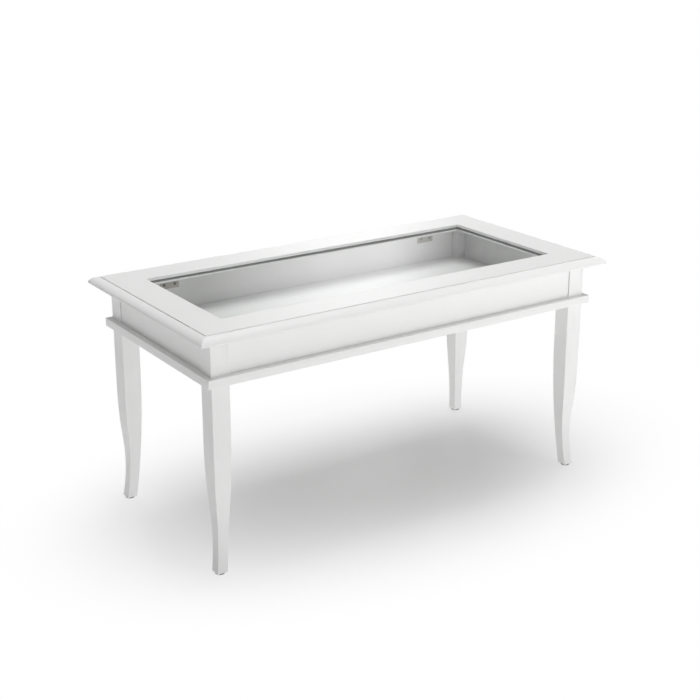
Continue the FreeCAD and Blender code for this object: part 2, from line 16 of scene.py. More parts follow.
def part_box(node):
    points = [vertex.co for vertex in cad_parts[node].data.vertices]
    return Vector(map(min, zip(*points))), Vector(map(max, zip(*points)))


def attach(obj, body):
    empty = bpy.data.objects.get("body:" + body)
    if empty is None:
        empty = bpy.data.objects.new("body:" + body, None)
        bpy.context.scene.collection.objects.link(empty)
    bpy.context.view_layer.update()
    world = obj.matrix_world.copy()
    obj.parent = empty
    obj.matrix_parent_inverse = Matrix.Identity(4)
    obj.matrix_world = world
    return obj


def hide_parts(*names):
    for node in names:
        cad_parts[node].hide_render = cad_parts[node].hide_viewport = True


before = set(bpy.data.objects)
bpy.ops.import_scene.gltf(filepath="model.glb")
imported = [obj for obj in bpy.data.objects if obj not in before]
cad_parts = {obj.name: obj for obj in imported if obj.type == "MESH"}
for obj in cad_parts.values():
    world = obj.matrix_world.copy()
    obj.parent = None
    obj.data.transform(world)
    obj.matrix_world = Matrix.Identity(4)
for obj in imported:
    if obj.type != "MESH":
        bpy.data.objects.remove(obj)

MM = 0.001
SCENE = bpy.context.scene
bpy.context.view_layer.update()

# %% [markdown]
# ## Sums on nodes
# Shader and geometry nodes are wired one socket at a time, which hides the sum that they work out.
# A small class around an output socket turns Python's own operators into Math nodes, so that a
# formula for a finish or a curve reads as a formula. Every other node comes from one method: its
# kind, its settings, and then the values or links of its sockets.

# %% A socket that can be added and multiplied
class Wire:
    """An output socket; sums on it add Math nodes to its tree."""

    def __init__(self, socket):
        self.socket = socket

    @classmethod
    def node(cls, tree, kind, settings=None, sockets=None, output=0):
        """Make a node with its settings first, then the values or links of its sockets."""
        made = tree.nodes.new(kind)
        for name, value in (settings or {}).items():
            if name == "stops":
                while len(made.color_ramp.elements) < len(value):
                    made.color_ramp.elements.new(1.0)
                for element, (position, colour) in zip(made.color_ramp.elements, value):
                    element.position = position
                    element.color = colour
            else:
                setattr(made, name, value)
        for name, value in (sockets or {}).items():
            for item in value if isinstance(value, list) else [value]:
                if isinstance(item, cls):
                    tree.links.new(item.socket, made.inputs[name])
                else:
                    made.inputs[name].default_value = item
        return cls(made.outputs[output]) if len(made.outputs) else None

    def other(self, output):
        """Another output of the same node."""
        return Wire(self.socket.node.outputs[output])

    def math(self, operation, *others, first=None):
        """One Math node, with this socket first unless another value goes before it."""
        values = [self, *others] if first is None else [first, self]
        sockets = dict(enumerate(values))
        return Wire.node(self.socket.id_data, "ShaderNodeMath", {"operation": operation}, sockets)

    def __add__(self, other):
        return self.math("ADD", other)

    def __sub__(self, other):
        return self.math("SUBTRACT", other)

    def __rsub__(self, other):
        return self.math("SUBTRACT", first=other)

    def __mul__(self, other):
        return self.math("MULTIPLY", other)

    def __truediv__(self, other):
        return self.math("DIVIDE", other)

    def __rtruediv__(self, other):
        return self.math("DIVIDE", first=other)

    __radd__ = __add__
    __rmul__ = __mul__


print("a Wire has", [name for name in vars(Wire) if callable(getattr(Wire, name))])

# %% [markdown]
# ## White lacquer
# The wood is sprayed with a satin white lacquer that is thin enough to let a little of the grain
# through: long faint streaks, fine pores, and a slightly uneven sheen. A picture of wood would need
# to be unwrapped on every board. Noise that is stretched along the grain needs no unwrapping, so one
# recipe serves boards that run along X, along Y and upright.

# %% Start and end of a material
def new_material(name):
    """An empty node material and its tree."""
    material = bpy.data.materials.new(name)
    material.use_nodes = True
    material.node_tree.nodes.clear()
    return material, material.node_tree


def show(tree, shader):
    """Send a shader to the material's output."""
    Wire.node(tree, "ShaderNodeOutputMaterial", {}, {"Surface": shader})


def show_finish(tree, sockets):
    """Send a principled shader with these sockets to the material's output."""
    show(tree, Wire.node(tree, "ShaderNodeBsdfPrincipled", {}, sockets))


def mixed(tree, share, first, second):
    """The first shader where the share is 0, and the second where it is 1."""
    return Wire.node(tree, "ShaderNodeMixShader", {}, {0: share, 1: first, 2: second})


def grey(tone):
    """A colour without hue."""
    return tone, tone, tone, 1.0


print("helpers", [helper.__name__ for helper in (new_material, show, show_finish, mixed, grey)])

# %% Patterns for the finishes
EVEN, ORIGIN = (1.0, 1.0, 1.0), (0.0, 0.0, 0.0)
# A Mix node has sockets for every kind of value, so those for colours are found by their place.
MIX_SHARE, MIX_LOW, MIX_HIGH, MIX_RESULT = 0, 6, 7, 2


def object_coordinates(tree, stretch=EVEN, centre=ORIGIN):
    """Object coordinates about a centre, drawn out where a number in stretch is small."""
    place = Wire.node(tree, "ShaderNodeTexCoord", output="Object")
    start = tuple(-where * scale for where, scale in zip(centre, stretch))
    sockets = {"Vector": place, "Location": start, "Scale": stretch}
    return Wire.node(tree, "ShaderNodeMapping", {}, sockets)


def noise(tree, where, scale, detail=3.0, rough=0.5):
    """Noise between 0 and 1."""
    sockets = {"Vector": where, "Scale": scale, "Detail": detail, "Roughness": rough}
    return Wire.node(tree, "ShaderNodeTexNoise", {}, sockets)


def smooth_rise(tree, value, low, high):
    """0 below one value, 1 above another, and a smooth rise between them."""
    sockets = {"Value": value, "From Min": low, "From Max": high}
    return Wire.node(tree, "ShaderNodeMapRange", {"interpolation_type": "SMOOTHSTEP"}, sockets)


def between(tree, share, low, high):
    """A colour between two others."""
    settings = {"data_type": "RGBA", "clamp_factor": True}
    sockets = {MIX_SHARE: share, MIX_LOW: (*low, 1.0), MIX_HIGH: (*high, 1.0)}
    return Wire.node(tree, "ShaderNodeMix", settings, sockets, output=MIX_RESULT)


def bump(tree, height, strength, depth):
    """A normal that follows a height."""
    sockets = {"Strength": strength, "Distance": depth, "Height": height}
    return Wire.node(tree, "ShaderNodeBump", {}, sockets)


print("patterns", [helper.__name__ for helper in (object_coordinates, noise, smooth_rise, between, bump)])

# %% Lacquer along each direction
GRAIN_STRETCH, STREAK_SCALE, PORE_SCALE, DRIFT_SCALE = 0.05, 330.0, 1500.0, 7.0
SHADED_WHITE, BRIGHT_WHITE = (0.815, 0.815, 0.81), (0.86, 0.86, 0.855)
SATIN, LACQUER_IOR = 0.285, 1.48
GRAIN_RELIEF, GRAIN_DEPTH = 0.03, 0.2 * MM


def lacquer(axis):
    """Satin white lacquer whose grain runs along one axis."""
    material, tree = new_material(f"white_lacquer_{axis}")
    stretch = tuple(GRAIN_STRETCH if name == axis else 1.0 for name in "xyz")
    along = object_coordinates(tree, stretch)
    streaks = smooth_rise(tree, noise(tree, along, STREAK_SCALE), 0.15, 0.85)
    pores = smooth_rise(tree, noise(tree, along, PORE_SCALE, detail=2.0), 0.2, 0.8)
    drift = noise(tree, object_coordinates(tree), DRIFT_SCALE, detail=2.0)
    tone = streaks * 0.35 + drift * 0.40 + pores * 0.25
    show_finish(tree, {
        "Base Color": between(tree, tone, SHADED_WHITE, BRIGHT_WHITE),
        "Roughness": SATIN + drift * 0.07 + streaks * 0.03,
        "Normal": bump(tree, streaks * 0.2 + pores * 0.8, GRAIN_RELIEF, GRAIN_DEPTH),
        "IOR": LACQUER_IOR,
    })
    return material


LACQUER = {axis: lacquer(axis) for axis in "xyz"}
print("made", [material.name for material in LACQUER.values()])

# %% [markdown]
# ## Glass and its gasket
# The pane is plain float glass. A refracting shader would block the lamps and leave the box dark, so
# the pane is see-through with a mirror layer that grows at a shallow angle, as glass does. The layer
# sits on the outer faces only, because a ray that leaves straight through must not be turned back.
# An extruded channel holds the edge of the pane: a grey web beside the glass, and above it a lip
# painted near black, a painted shadow line along the rim of the rabbet.

# %% Clear glass
GLASS_IOR, GLASS_TINT, POLISH, HAZE_SCALE = 1.5, (0.985, 0.99, 0.988, 1.0), 0.02, 5.0


def gloss(tree, roughness):
    """A white mirror that its roughness blurs."""
    return Wire.node(tree, "ShaderNodeBsdfGlossy", {}, {"Color": grey(1.0), "Roughness": roughness})


def clear_glass():
    """See-through glass with a reflection that grows at a shallow angle."""
    material, tree = new_material("clear_glass")
    haze = noise(tree, object_coordinates(tree), HAZE_SCALE)
    outside = 1.0 - Wire.node(tree, "ShaderNodeNewGeometry", output="Backfacing")
    shallow = Wire.node(tree, "ShaderNodeFresnel", {}, {"IOR": GLASS_IOR})
    mirror = shallow * outside * (0.95 + haze * 0.2)
    through = Wire.node(tree, "ShaderNodeBsdfTransparent", {}, {"Color": GLASS_TINT})
    show(tree, mixed(tree, mirror, through, gloss(tree, POLISH)))
    return material


GLASS = clear_glass()
print("made", GLASS.name)

# %% Gasket, pads and glides
SKIN_SCALE, CLOUD_SCALE, SKIN_RELIEF, SKIN_DEPTH = 2600.0, 30.0, 0.15, 0.2 * MM
# The grey of the web is the gasket's own; the near-black of the lip is painted shade, the shadow line under
# the rabbet's rim.
WEB_GREY, LIP_SHADOW_BLACK = (0.26, 0.26, 0.26), (0.025, 0.025, 0.025)
SHADOW_LINE_STARTS, SHADOW_LINE_WHOLE = 2.6 * MM, 1.6 * MM
LINE_STRETCH, LINE_SCALE = (0.02, 0.02, 1.0), 1900.0


def rubber(name, low, high, roughness):
    """Matt rubber with a fine moulded skin."""
    material, tree = new_material(name)
    where = object_coordinates(tree)
    skin = noise(tree, where, SKIN_SCALE, detail=2.0)
    cloud = noise(tree, where, CLOUD_SCALE, detail=2.0)
    show_finish(tree, {
        "Base Color": between(tree, skin * 0.4 + cloud * 0.6, low, high),
        "Roughness": roughness + cloud * 0.15,
        "Normal": bump(tree, skin, SKIN_RELIEF, SKIN_DEPTH),
    })
    return material


def channel():
    """Extruded channel: grey, its upper edge painted near black as a painted shadow line, with fine lines
    along it.
    """
    material, tree = new_material("grey_gasket")
    height = Wire.node(tree, "ShaderNodeSeparateXYZ", {}, {0: object_coordinates(tree)}, output="Z")
    lines = noise(tree, object_coordinates(tree, LINE_STRETCH), LINE_SCALE, detail=2.0)
    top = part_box("glass_pane")[1].z
    # Painted shade: towards its upper edge the channel darkens to near black, as a shadow line.
    painted_lip_shadow = smooth_rise(tree, height, top - SHADOW_LINE_STARTS, top - SHADOW_LINE_WHOLE)
    show_finish(tree, {
        "Base Color": between(tree, painted_lip_shadow + (lines - 0.5) * 0.2, WEB_GREY, LIP_SHADOW_BLACK),
        "Roughness": 0.5 + lines * 0.2,
    })
    return material


GASKET = channel()
PAD = rubber("clear_rubber", (0.72, 0.72, 0.71), (0.82, 0.82, 0.81), 0.35)
PLASTIC = rubber("grey_plastic", (0.10, 0.10, 0.105), (0.16, 0.16, 0.165), 0.45)
print("made", GASKET.name, PAD.name, PLASTIC.name)

# %% [markdown]
# ## Metal and bare wood
# The hinges are nickel-plated and carry fine brush lines. Their screws are painted a much darker
# nickel, which is painted shade: it stands for the shade in their countersinks. The fasteners inside
# the joints are zinc-plated, with a mottled sheen, and the dowels are bare beech with short dark
# flecks. Each metal could have a shader of its own, but one recipe does for all: stretched noise
# gives brush lines, and even noise gives the mottle.

# %% Nickel, zinc and beech
BRUSH_SCALE, MOTTLE_SCALE, BRUSH_RELIEF, BRUSH_DEPTH = 1800.0, 160.0, 0.06, 0.1 * MM
BRUSHED_ALONG_X = (0.06, 1.0, 1.0)
BEECH_STRETCH, BEECH_SCALE, BEECH_RELIEF, BEECH_DEPTH = (0.12, 1.0, 1.0), 420.0, 0.15, 0.3 * MM
FLECK_STRETCH, FLECK_SCALE = (0.3, 1.0, 1.0), 1500.0
DARK_BEECH, PALE_BEECH = (0.50, 0.33, 0.19), (0.80, 0.63, 0.44)


def plated(name, low, high, stretch, roughness):
    """Plated steel with brush lines or a mottled skin."""
    material, tree = new_material(name)
    lines = noise(tree, object_coordinates(tree, stretch), BRUSH_SCALE, rough=0.6)
    cloud = noise(tree, object_coordinates(tree), MOTTLE_SCALE)
    show_finish(tree, {
        "Base Color": between(tree, lines * 0.5 + cloud * 0.5, low, high),
        "Metallic": 1.0,
        "Roughness": roughness + lines * 0.14 + cloud * 0.06,
        "Normal": bump(tree, lines, BRUSH_RELIEF, BRUSH_DEPTH),
    })
    return material


def beech():
    """Bare beech: straight grain along X with short flecks."""
    material, tree = new_material("bare_beech")
    grain = noise(tree, object_coordinates(tree, BEECH_STRETCH), BEECH_SCALE, detail=4.0, rough=0.6)
    flecks = noise(tree, object_coordinates(tree, FLECK_STRETCH), FLECK_SCALE, detail=1.0)
    show_finish(tree, {
        "Base Color": between(tree, grain * 0.7 + flecks * 0.3, DARK_BEECH, PALE_BEECH),
        "Roughness": 0.55 + grain * 0.15,
        "Normal": bump(tree, grain, BEECH_RELIEF, BEECH_DEPTH),
    })
    return material


NICKEL = plated("nickel_steel", (0.40, 0.38, 0.355), (0.54, 0.515, 0.48), BRUSHED_ALONG_X, 0.26)
# The hinge screws are painted dark: painted shade, standing for the shade in their countersinks.
SHADE_DARK_NICKEL = plated("shade_darkened_nickel", (0.13, 0.125, 0.12), (0.22, 0.21, 0.20), EVEN, 0.30)
ZINC = plated("zinc_steel", (0.50, 0.51, 0.52), (0.66, 0.67, 0.67), EVEN, 0.34)
BEECH = beech()
print("made", NICKEL.name, SHADE_DARK_NICKEL.name, ZINC.name, BEECH.name)

# %% [markdown]
# ## From mesh to piece
# A curved face must look curved, and a flat one flat. Faces are shaded smooth, edges that turn
# sharply are marked sharp, and weighted normals let the large flat faces win over the narrow
# rounded edges beside them. The result is kept as a plain mesh at the origin, and rides on its body.

# %% Finish a piece
SHARP_TURN = 35.0


def new_piece(name, mesh):
    """Put a mesh in the scene under a name."""
    piece = bpy.data.objects.new(name, mesh)
    SCENE.collection.objects.link(piece)
    return piece


def plain(piece):
    """Replace an object's mesh by what its modifiers give."""
    bpy.context.view_layer.update()
    result = piece.evaluated_get(bpy.context.evaluated_depsgraph_get())
    mesh = bpy.data.meshes.new_from_object(result)
    piece.modifiers.clear()
    piece.data = mesh
    return piece


def finish(piece, body, material, stands_for, turn_limit=SHARP_TURN):
    """Smooth a piece, paint it, and let it stand for CAD nodes on a body."""
    mesh = piece.data
    mesh.shade_smooth()
    mesh.set_sharp_from_angle(angle=math.radians(turn_limit))
    weighted = piece.modifiers.new("weighted", "WEIGHTED_NORMAL")
    weighted.keep_sharp = True
    plain(piece)
    piece.data.materials.clear()
    piece.data.materials.append(material)
    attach(piece, body)
    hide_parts(*stands_for)
    print(piece.name, "faces", len(piece.data.polygons), "for", ", ".join(stands_for))
    return piece


print("edges are sharp from a turn of", SHARP_TURN, "degrees, unless a piece says otherwise")

# %% Mesh from a bmesh
SAME_PLACE = 1e-6


def merge(shape):
    """Join the points of a bmesh that lie in the same place."""
    bmesh.ops.remove_doubles(shape, verts=shape.verts, dist=SAME_PLACE)


def to_mesh(name, shape):
    """A mesh from a bmesh, which is then let go."""
    mesh = bpy.data.meshes.new(name)
    shape.to_mesh(mesh)
    shape.free()
    return mesh


def from_bmesh(name, shape, where=Matrix()):
    """A piece from a bmesh, its place worked into its mesh and its faces pointing outwards."""
    merge(shape)
    bmesh.ops.recalc_face_normals(shape, faces=shape.faces)
    mesh = to_mesh(name, shape)
    mesh.transform(where)
    return new_piece(name, mesh)


def quarter_turn(degrees):
    """A turn about Z by a right angle or more of them, free of rounding noise."""
    turn = Matrix.Rotation(math.radians(degrees), 4, "Z")
    return Matrix([[round(value) for value in row] for row in turn])


print("points within", SAME_PLACE, "m of each other are joined")

# %% [markdown]
# ## Lid frame
# Each side of the lid is one moulded rail with mitred ends. From the flat top a small step drops to
# a crowned edge, which rolls over into a round nose. A fine groove, the quirk, runs along the foot of
# the step and draws the dark line round the lid. Below, a rabbet takes the glass. The whole rail is
# one section drawn along a line, so the section is drawn once and its points are carried to both
# mitres.

# %% Section of the moulded rails
LID_LOW = min(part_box(f"lid_rail_{side}")[0].z for side in ("front", "rear"))
LID_HIGH = max(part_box(f"lid_rail_{side}")[1].z for side in ("front", "rear"))
LID_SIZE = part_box("lid_rail_front")[1].x * 2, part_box("lid_rail_right")[1].y * 2
THICK = LID_HIGH - LID_LOW
FRAME_WIDTH, RABBET, MOULDING, STEP = 90 * MM, 11 * MM, 20 * MM, 1.2 * MM
NOSE, LOW_ROUND, EASE = 8 * MM, 2 * MM, 0.7 * MM
QUIRK, QUIRK_DEPTH = 1.1 * MM, 2.0 * MM
RABBET_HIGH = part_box("glass_gasket")[1].z - LID_LOW


def arc(centre, radius, start, end, steps):
    """Points on a circle between two angles in degrees."""
    angles = [math.radians(start + (end - start) * step / steps) for step in range(steps + 1)]
    across, up = centre
    return [(across + radius * math.cos(angle), up + radius * math.sin(angle)) for angle in angles]


def rail_section():
    """Points of the section: distance in from the outer edge, and height above the underside."""
    shoulder = THICK - STEP
    rise = shoulder - LOW_ROUND
    crown = (MOULDING**2 + rise**2 - 2 * MOULDING * NOSE) / (2 * (rise - NOSE))
    meet = math.degrees(math.atan2(crown - rise, MOULDING - NOSE))
    turn_in = math.degrees(QUIRK / crown)
    quirk_floor = shoulder - QUIRK_DEPTH
    points = arc((MOULDING + EASE / 2, THICK - EASE / 2), EASE / 2, 90, 180, steps=4)
    points += [(MOULDING, quirk_floor), (MOULDING - QUIRK, quirk_floor)]
    points += arc((MOULDING, shoulder - crown), crown, 90 + turn_in, 180 - meet, steps=16)
    points += arc((NOSE, LOW_ROUND), NOSE, 180 - meet, 180, steps=12)[1:]
    points += arc((LOW_ROUND, LOW_ROUND), LOW_ROUND, 180, 270, steps=6)[1:]
    points += arc((FRAME_WIDTH - RABBET - EASE, EASE), EASE, 270, 360, steps=4)
    points += [(FRAME_WIDTH - RABBET, RABBET_HIGH), (FRAME_WIDTH, RABBET_HIGH)]
    points += arc((FRAME_WIDTH - EASE, THICK - EASE), EASE, 0, 90, steps=5)
    return points


print("section of", len(rail_section()), "points")
print("lid", [round(size, 4) for size in (*LID_SIZE, THICK)])

# %% Rails and beads
BEAD_HIGH, BEAD_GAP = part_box("glass_bead_front")[1].z - LID_LOW, 0.2 * MM
# Each side has its length, its middle, its turn in degrees and the direction of its grain.
SIDES = {
    "front": (LID_SIZE[0], (0, -LID_SIZE[1] / 2), 0, "x"),
    "right": (LID_SIZE[1], (LID_SIZE[0] / 2, 0), 90, "y"),
    "rear": (LID_SIZE[0], (0, LID_SIZE[1] / 2), 180, "x"),
    "left": (LID_SIZE[1], (-LID_SIZE[0] / 2, 0), -90, "y"),
}


def mitred_bar(name, side, section):
    """One section along a side of the lid, cut to the mitre at both ends."""
    length, middle, turn, _ = SIDES[side]
    shape = bmesh.new()
    ends = []
    for hand in (-1, 1):
        points = [(hand * (length / 2 - inset), inset, height) for inset, height in section]
        ends.append([shape.verts.new(point) for point in points])
    for here in range(len(section)):
        there = here - 1
        shape.faces.new((ends[0][there], ends[0][here], ends[1][here], ends[1][there]))
    for end in ends:
        shape.faces.new(end)
    where = Matrix.Translation((*middle, LID_LOW)) @ quarter_turn(turn)
    return from_bmesh(name, shape, where)


def bead_section():
    """Square bead with its two lower corners eased."""
    outer = FRAME_WIDTH - RABBET + BEAD_GAP
    points = [(outer, BEAD_HIGH)]
    points += arc((outer + EASE, EASE), EASE, 180, 270, steps=4)
    points += arc((FRAME_WIDTH - EASE, EASE), EASE, -90, 0, steps=5)
    return points + [(FRAME_WIDTH, BEAD_HIGH)]


for side, (_, _, _, grain) in SIDES.items():
    rail = mitred_bar(f"moulded_rail_{side}", side, rail_section())
    finish(rail, "lid", LACQUER[grain], [f"lid_rail_{side}"])
    bead = mitred_bar(f"eased_bead_{side}", side, bead_section())
    finish(bead, "lid", LACQUER[grain], [f"glass_bead_{side}"])

# %% [markdown]
# ## Sabre legs
# A sabre leg is straight at the top, draws in below, and flares out again at the foot, and it does
# so in both directions because the same curve is sawn on two faces. A block could be cut twice with
# that outline, but its long corners would then have to be rounded one by one. The curve is a rule, so
# the leg is grown by Geometry Nodes: a rounded square is swept up a line, and each ring is then moved
# to the depth that the arcs give at its height, two on the outer faces and one on the inner faces.

# %% Start and end of a node tree
NUMBER, WHOLE, VECTOR = "NodeSocketFloat", "NodeSocketInt", "NodeSocketVector"
SHAPE, PAINT = "NodeSocketGeometry", "NodeSocketMaterial"


def start_tree(name, inputs):
    """A geometry tree with named inputs, and a wire for each of them."""
    tree = bpy.data.node_groups.new(name, "GeometryNodeTree")
    tree.interface.new_socket("Geometry", in_out="OUTPUT", socket_type=SHAPE)
    for label, kind in inputs.items():
        tree.interface.new_socket(label, in_out="INPUT", socket_type=kind)
    first = Wire.node(tree, "NodeGroupInput")
    return tree, {label: first.other(label) for label in inputs}


def end_tree(tree, shape, paint):
    """Make the shape real, paint it, and hand it out."""
    real = Wire.node(tree, "GeometryNodeRealizeInstances", {}, {"Geometry": shape})
    painted = Wire.node(tree, "GeometryNodeSetMaterial", {}, {"Geometry": real, "Material": paint})
    Wire.node(tree, "NodeGroupOutput", {}, {"Geometry": painted})
    return tree


def grow(name, tree, values, points=()):
    """Run a tree on some points and keep what it makes as a plain mesh."""
    seeds = bpy.data.meshes.new(name)
    seeds.from_pydata(points, [], [])
    piece = new_piece(name, seeds)
    modifier = piece.modifiers.new("grow", "NODES")
    modifier.node_group = tree
    for socket in tree.interface.items_tree:
        if socket.in_out == "INPUT" and socket.name in values:
            modifier[socket.identifier] = values[socket.name]
    return plain(piece)


print("tree helpers", [helper.__name__ for helper in (start_tree, end_tree, grow)])

# %% Points inside a node tree
def position(tree):
    """A wire for each of the three parts of a point's place."""
    place = Wire.node(tree, "GeometryNodeInputPosition")
    x = Wire.node(tree, "ShaderNodeSeparateXYZ", {}, {0: place})
    return x, x.other("Y"), x.other("Z")


def vector(tree, parts):
    """A vector from its named parts, 0 where a part isn't named."""
    return Wire.node(tree, "ShaderNodeCombineXYZ", {}, parts)


def move_points(tree, shape, place):
    """A shape with each of its points at a new place."""
    return Wire.node(tree, "GeometryNodeSetPosition", {}, {"Geometry": shape, "Position": place})


print("point helpers", [helper.__name__ for helper in (position, vector, move_points)])

# %% Tree of the sabre leg
CORNER_STEPS, RINGS, CLOSER_BELOW = 4, 140, 1.6
LEG_SIZES = [
    "Height", "Side", "Ease", "Bend Height", "Bend Radius", "Turn Height",
    "Flare Radius", "Flare Depth", "Flare Height", "Inner Height", "Inner Radius", "Foot Round",
]


def sagitta(radius, distance):
    """How far an arc has fallen away at a distance from where it touches its tangent."""
    return radius - (radius * radius - distance * distance).math("SQRT")


def leg_tree():
    """Rounded square swept upwards, each ring moved to the depth of the leg's curves."""
    tree, size = start_tree("sabre_leg", {**dict.fromkeys(LEG_SIZES, NUMBER), "Paint": PAINT})
    side = size["Side"]
    square = Wire.node(tree, "GeometryNodeCurvePrimitiveQuadrilateral", {}, {"Width": side, "Height": side})
    rounded = Wire.node(tree, "GeometryNodeFilletCurve", {"mode": "POLY"}, {
        "Curve": square, "Count": CORNER_STEPS, "Radius": size["Ease"],
    })
    top = vector(tree, {"Z": size["Height"]})
    line = Wire.node(tree, "GeometryNodeCurvePrimitiveLine", {}, {"End": top})
    even = Wire.node(tree, "GeometryNodeResampleCurve", {}, {"Curve": line, "Count": RINGS})
    closer = size["Height"] * Wire.node(tree, "GeometryNodeSplineParameter").math("POWER", CLOSER_BELOW)
    rings = move_points(tree, even, vector(tree, {"Z": closer}))
    stick = Wire.node(tree, "GeometryNodeCurveToMesh", {}, {
        "Curve": rings, "Profile Curve": rounded, "Fill Caps": True,
    })
    x, y, z = position(tree)
    upper = sagitta(size["Bend Radius"], (size["Bend Height"] - z).math("MAXIMUM", 0.0))
    span = z - size["Flare Height"]
    reach = size["Flare Radius"] * size["Flare Radius"] - span * span
    lower = size["Flare Depth"] + reach.math("SQRT")
    outer = upper + z.math("LESS_THAN", size["Turn Height"]) * (lower - upper)
    inner = side - sagitta(size["Inner Radius"], (size["Inner Height"] - z).math("MAXIMUM", 0.0))
    foot = sagitta(size["Foot Round"], (size["Foot Round"] - z).math("MAXIMUM", 0.0))
    outer, inner = outer + foot, inner - foot
    moved_x, moved_y = (outer + (way / side + 0.5) * (inner - outer) for way in (x, y))
    shaped = move_points(tree, stick, vector(tree, {"X": moved_x, "Y": moved_y, "Z": z}))
    return end_tree(tree, shaped, size["Paint"])


LEG_TREE = leg_tree()
print("leg tree with", len(LEG_TREE.nodes), "nodes")

# %% Four legs
LEG_LOW, LEG_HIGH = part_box("leg_front_left")
POST_LOW, POST_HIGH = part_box("post_front_left")
LEG_SIDE = POST_HIGH.x - POST_LOW.x
BEND, TURN, TURN_DEPTH = 247 * MM, 137 * MM, 5 * MM
INNER_BEND, FOOT_INSET, FOOT_SIDE = 297 * MM, 0.5 * MM, 23 * MM
LEG_EASE, SOLE_ROUND = 2 * MM, 1.8 * MM
# Each corner has its sides along X and Y, and the turn of its leg in degrees.
CORNERS = {
    "front_left": (-1, -1, 0),
    "front_right": (1, -1, 90),
    "rear_right": (1, 1, 180),
    "rear_left": (-1, 1, 270),
}


def leg_sizes():
    """Heights and radii of the arcs, from the points that they run through."""
    bend_radius = ((BEND - TURN) ** 2 + TURN_DEPTH**2) / (2 * TURN_DEPTH)
    meet = Vector((TURN_DEPTH, TURN))
    outward = (meet - Vector((bend_radius, BEND))).normalized()
    chord = Vector((FOOT_INSET, 0.0)) - meet
    flare_radius = chord.length_squared / (2 * outward.dot(chord))
    centre = meet + outward * flare_radius
    drawn_in = LEG_SIDE - FOOT_INSET - FOOT_SIDE
    return {
        "Height": LEG_HIGH.z - LEG_LOW.z, "Side": LEG_SIDE, "Ease": LEG_EASE,
        "Bend Height": BEND, "Bend Radius": bend_radius, "Turn Height": TURN,
        "Flare Radius": flare_radius, "Flare Depth": centre.x, "Flare Height": centre.y,
        "Inner Height": INNER_BEND, "Inner Radius": (INNER_BEND**2 + drawn_in**2) / (2 * drawn_in),
        "Foot Round": SOLE_ROUND, "Paint": LACQUER["z"],
    }


for corner, (side_x, side_y, turn) in CORNERS.items():
    leg = grow(f"sabre_leg_{corner}", LEG_TREE, leg_sizes())
    outer_corner = Vector((side_x * -POST_LOW.x, side_y * -POST_LOW.y, LEG_LOW.z))
    leg.data.transform(Matrix.Translation(outer_corner) @ quarter_turn(turn))
    finish(leg, "table", LACQUER["z"], [f"leg_{corner}"])

# %% [markdown]
# ## Posts, base board and hinges
# These solids already have their true shape, with rounded edges and bored holes. Their triangles are
# only loose and flat shaded. A copy with its corners merged can be shaded smoothly, so the rounded
# edges catch the light as one soft line.

# %% Smooth copies of the solids
def merged_solid(node):
    """A bmesh of a CAD node with its loose triangles joined."""
    shape = bmesh.new()
    shape.from_mesh(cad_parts[node].data)
    merge(shape)
    return shape


def smooth_copy(node, name):
    """A merged copy of a CAD node's mesh."""
    return new_piece(name, to_mesh(name, merged_solid(node)))


for corner in CORNERS:
    post = smooth_copy(f"post_{corner}", f"corner_post_{corner}")
    finish(post, "table", LACQUER["z"], [f"post_{corner}"])
board = smooth_copy("base_board", "box_floor_board")
finish(board, "table", LACQUER["x"], ["base_board"])
for hand in ("left", "right"):
    for node, body in (("leaf_box", "table"), ("leaf_lid", "lid"), ("pin", "table")):
        part = smooth_copy(f"hinge_{node}_{hand}", f"plated_{node}_{hand}")
        finish(part, body, NICKEL, [f"hinge_{node}_{hand}"])

# %% [markdown]
# ## Aprons
# The walls of the box are four boards between the posts. Their edges are eased before they are glued
# up, so a thin shaded line runs down every joint with a post. A plain box with a small bevel gives
# that line, and a sharp box would not.

# %% Four eased boards
APRON_EASE = 1.3 * MM


def eased_board(name, low, high):
    """A board between two corners with all its edges rounded over."""
    shape = bmesh.new()
    bmesh.ops.create_cube(shape, size=1.0)
    size, middle = high - low, (low + high) / 2
    where = Matrix.Translation(middle) @ Matrix.Diagonal((*size, 1.0))
    bmesh.ops.transform(shape, matrix=where, verts=shape.verts)
    bmesh.ops.bevel(shape, geom=shape.edges, offset=APRON_EASE, segments=4, profile=0.5, affect="EDGES")
    return from_bmesh(name, shape)


for side, (_, _, _, grain) in SIDES.items():
    apron = eased_board(f"eased_apron_{side}", *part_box(f"apron_{side}"))
    finish(apron, "table", LACQUER[grain], [f"apron_{side}"])

# %% [markdown]
# ## Screws
# The hinges and the base board are held by countersunk screws with a cross in the head. A screw could
# be made once and copied by hand. They repeat, so one tree makes a screw and sets it at every place
# where the packed model has one. Head and shank are one rod whose rings are moved and narrowed, and
# two bars, joined to a cross, are cut out of the head. Each screw is turned a little differently, as
# screws are.

# %% Where the solids of a node lie
SCREW_NODES = ("hinge_screws_box", "hinge_screws_lid", "board_screws")


def solids(node):
    """Low and high corner of each separate solid in a CAD node, in the same order every time."""
    shape = merged_solid(node)
    left, boxes = set(shape.verts), []
    while left:
        island, front = set(), [left.pop()]
        while front:
            vert = front.pop()
            island.add(vert)
            near = {edge.other_vert(vert) for edge in vert.link_edges} & left
            left -= near
            front += near
        sides = list(zip(*(vert.co for vert in island)))
        boxes.append((Vector(min(side) for side in sides), Vector(max(side) for side in sides)))
    shape.free()
    return sorted(boxes, key=lambda box: tuple(box[0]))


print("screws", {node: len(solids(node)) for node in SCREW_NODES})

# %% Blank and cross of a screw
SCREW_SIZES = [
    "Head Radius", "Head Height", "Shank Radius", "Length", "Cross Length", "Cross Width", "Cross Depth",
]
JOINED = {"solver": "EXACT", "operation": "UNION"}


